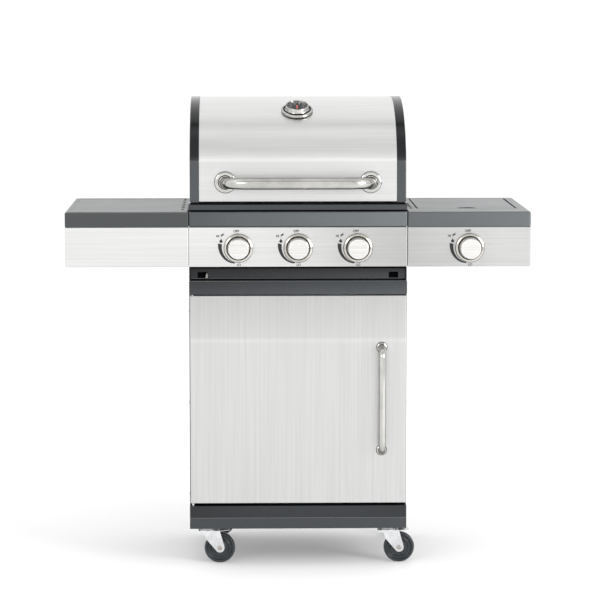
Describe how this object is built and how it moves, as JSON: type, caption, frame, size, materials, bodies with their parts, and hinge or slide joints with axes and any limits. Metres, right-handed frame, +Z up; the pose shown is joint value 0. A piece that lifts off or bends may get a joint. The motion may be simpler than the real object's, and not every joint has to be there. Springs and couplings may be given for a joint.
{
  "type": "gas barbecue grill",
  "caption": "Freestanding gas barbecue grill: hinged roll-top lid over a cook box, knobs, side shelves with a covered side burner, cabinet with door, swivel casters.",
  "frame": {"origin": "on the floor, below the centre of the whole grill's bounding box", "axes": "+Z up, +X to the grill's right-hand side seen from the front, front faces -Y"},
  "size_m": [1.126, 0.505, 1.1368],
  "materials": {
    "stainless": "satin, horizontal brushing",
    "door_steel": "satin, vertical brushing",
    "chrome": "bright polished",
    "dark_paint": "fine textured dark grey, semi-gloss",
    "black_paint": "satin black",
    "enamel": "black porcelain enamel",
    "cast_iron": "matt black, rough cast",
    "burner_steel": "dull stamped steel",
    "zinc": "bright zinc plating",
    "brass": "turned brass",
    "tyre": "moulded dark grey plastic",
    "knob_silver": "silver plated plastic with a bright edge",
    "needle_red": "orange-red paint",
    "dial_face": null,
    "marking": null,
    "dial_glass": "clear flat glass"
  },
  "bodies": {
    "root": {"base_shelf": "dark_paint", "cabinet_side_left": "dark_paint", "cabinet_side_right": "dark_paint", "cabinet_back": "black_paint", "front_beam": "dark_paint", "cross_beam": "black_paint", "control_panel": "stainless", "panel_trim": "dark_paint", "left_table_top": "dark_paint", "left_table_front": "stainless", "right_table_top": "dark_paint", "right_table_front": "stainless", "side_burner": "cast_iron", "side_burner_grate": "cast_iron", "firebox": "enamel", "cooking_grate_left": "cast_iron", "cooking_grate_right": "cast_iron", "warming_rack": "chrome", "heat_tent_1": "enamel", "heat_tent_2": "enamel", "heat_tent_3": "enamel", "burner_1": "burner_steel", "burner_2": "burner_steel", "burner_3": "burner_steel", "gas_manifold": "brass", "side_burner_valve": "brass", "lid_hinge_left": "zinc", "lid_hinge_right": "zinc", "caster_plate_front_left": "zinc", "caster_plate_front_right": "zinc", "caster_plate_rear_left": "zinc", "caster_plate_rear_right": "zinc"},
    "lid": {"lid_skin": "stainless", "lid_end_left": "dark_paint", "lid_end_right": "dark_paint", "lid_handle": "chrome", "thermometer": "chrome"},
    "needle": {"thermometer_needle": "needle_red"},
    "side_lid": {"side_burner_lid": "dark_paint"},
    "door": {"door": "door_steel", "door_handle": "chrome"},
    "tray": {"grease_tray": "zinc"},
    "stem_1": {"knob_stem_1": "zinc"},
    "knob_1": {"knob_1": "knob_silver"},
    "stem_2": {"knob_stem_2": "zinc"},
    "knob_2": {"knob_2": "knob_silver"},
    "stem_3": {"knob_stem_3": "zinc"},
    "knob_3": {"knob_3": "knob_silver"},
    "stem_4": {"knob_stem_4": "zinc"},
    "knob_4": {"knob_4": "knob_silver"},
    "fork_front_left": {"caster_fork_front_left": "zinc"},
    "wheel_front_left": {"caster_wheel_front_left": "tyre"},
    "fork_front_right": {"caster_fork_front_right": "zinc"},
    "wheel_front_right": {"caster_wheel_front_right": "tyre"},
    "fork_rear_left": {"caster_fork_rear_left": "zinc"},
    "wheel_rear_left": {"caster_wheel_rear_left": "tyre"},
    "fork_rear_right": {"caster_fork_rear_right": "zinc"},
    "wheel_rear_right": {"caster_wheel_rear_right": "tyre"},
    "brake_front_left": {"caster_brake_front_left": "zinc"},
    "brake_front_right": {"caster_brake_front_right": "zinc"}
  },
  "joints": [
    {"name": "lid_open", "type": "hinge", "parent": "root", "child": "lid", "pos_m": [0, 0.232, 0.902], "axis": [-1, 0, 0], "range_deg": [0, 88]},
    {"name": "needle_turn", "type": "hinge", "parent": "lid", "child": "needle", "pos_m": [0, -0.06816, 1.10479], "axis": [0, 0.3953, -0.9185], "range_deg": [0, 270]},
    {"name": "side_lid_open", "type": "hinge", "parent": "root", "child": "side_lid", "pos_m": [0.4155, 0.2122, 0.8647], "axis": [-1, 0, 0], "range_deg": [0, 100]},
    {"name": "door_swing", "type": "hinge", "parent": "root", "child": "door", "pos_m": [-0.256, -0.1935, 0.41], "axis": [0, 0, -1], "range_deg": [0, 110]},
    {"name": "tray_slide", "type": "slide", "parent": "root", "child": "tray", "axis": [0, 1, 0], "range_m": [0, 0.3]},
    {"name": "knob_1_push", "type": "slide", "parent": "root", "child": "stem_1", "axis": [0, 1, 0], "range_m": [0, 0.004], "stiffness_N_per_m": 500},
    {"name": "knob_1_turn", "type": "hinge", "parent": "stem_1", "child": "knob_1", "pos_m": [-0.1445, -0.2245, 0.781], "axis": [0, -1, 0], "range_deg": [0, 180]},
    {"name": "knob_2_push", "type": "slide", "parent": "root", "child": "stem_2", "axis": [0, 1, 0], "range_m": [0, 0.004], "stiffness_N_per_m": 500},
    {"name": "knob_2_turn", "type": "hinge", "parent": "stem_2", "child": "knob_2", "pos_m": [0, -0.2245, 0.781], "axis": [0, -1, 0], "range_deg": [0, 180]},
    {"name": "knob_3_push", "type": "slide", "parent": "root", "child": "stem_3", "axis": [0, 1, 0], "range_m": [0, 0.004], "stiffness_N_per_m": 500},
    {"name": "knob_3_turn", "type": "hinge", "parent": "stem_3", "child": "knob_3", "pos_m": [0.1445, -0.2245, 0.781], "axis": [0, -1, 0], "range_deg": [0, 180]},
    {"name": "knob_4_push", "type": "slide", "parent": "root", "child": "stem_4", "axis": [0, 1, 0], "range_m": [0, 0.004], "stiffness_N_per_m": 500},
    {"name": "knob_4_turn", "type": "hinge", "parent": "stem_4", "child": "knob_4", "pos_m": [0.4155, -0.2245, 0.781], "axis": [0, -1, 0], "range_deg": [0, 180]},
    {"name": "caster_front_left_swivel", "type": "hinge", "parent": "root", "child": "fork_front_left", "pos_m": [-0.2205, -0.1545, 0.08], "axis": [0, 0, 1], "continuous": true},
    {"name": "caster_front_left_roll", "type": "hinge", "parent": "fork_front_left", "child": "wheel_front_left", "pos_m": [-0.192, -0.1545, 0.03738], "axis": [0, 1, 0], "continuous": true},
    {"name": "caster_front_right_swivel", "type": "hinge", "parent": "root", "child": "fork_front_right", "pos_m": [0.2205, -0.1545, 0.08], "axis": [0, 0, 1], "continuous": true},
    {"name": "caster_front_right_roll", "type": "hinge", "parent": "fork_front_right", "child": "wheel_front_right", "pos_m": [0.249, -0.1545, 0.03738], "axis": [0, 1, 0], "continuous": true},
    {"name": "caster_rear_left_swivel", "type": "hinge", "parent": "root", "child": "fork_rear_left", "pos_m": [-0.2205, 0.1855, 0.08], "axis": [0, 0, 1], "continuous": true},
    {"name": "caster_rear_left_roll", "type": "hinge", "parent": "fork_rear_left", "child": "wheel_rear_left", "pos_m": [-0.192, 0.1855, 0.03738], "axis": [0, 1, 0], "continuous": true},
    {"name": "caster_rear_right_swivel", "type": "hinge", "parent": "root", "child": "fork_rear_right", "pos_m": [0.2205, 0.1855, 0.08], "axis": [0, 0, 1], "continuous": true},
    {"name": "caster_rear_right_roll", "type": "hinge", "parent": "fork_rear_right", "child": "wheel_rear_right", "pos_m": [0.249, 0.1855, 0.03738], "axis": [0, 1, 0], "continuous": true},
    {"name": "caster_front_left_brake", "type": "hinge", "parent": "fork_front_left", "child": "brake_front_left", "pos_m": [-0.196, -0.1545, 0.0775], "axis": [0, 1, 0], "range_deg": [0, 14]},
    {"name": "caster_front_right_brake", "type": "hinge", "parent": "fork_front_right", "child": "brake_front_right", "pos_m": [0.245, -0.1545, 0.0775], "axis": [0, 1, 0], "range_deg": [0, 14]}
  ]
}
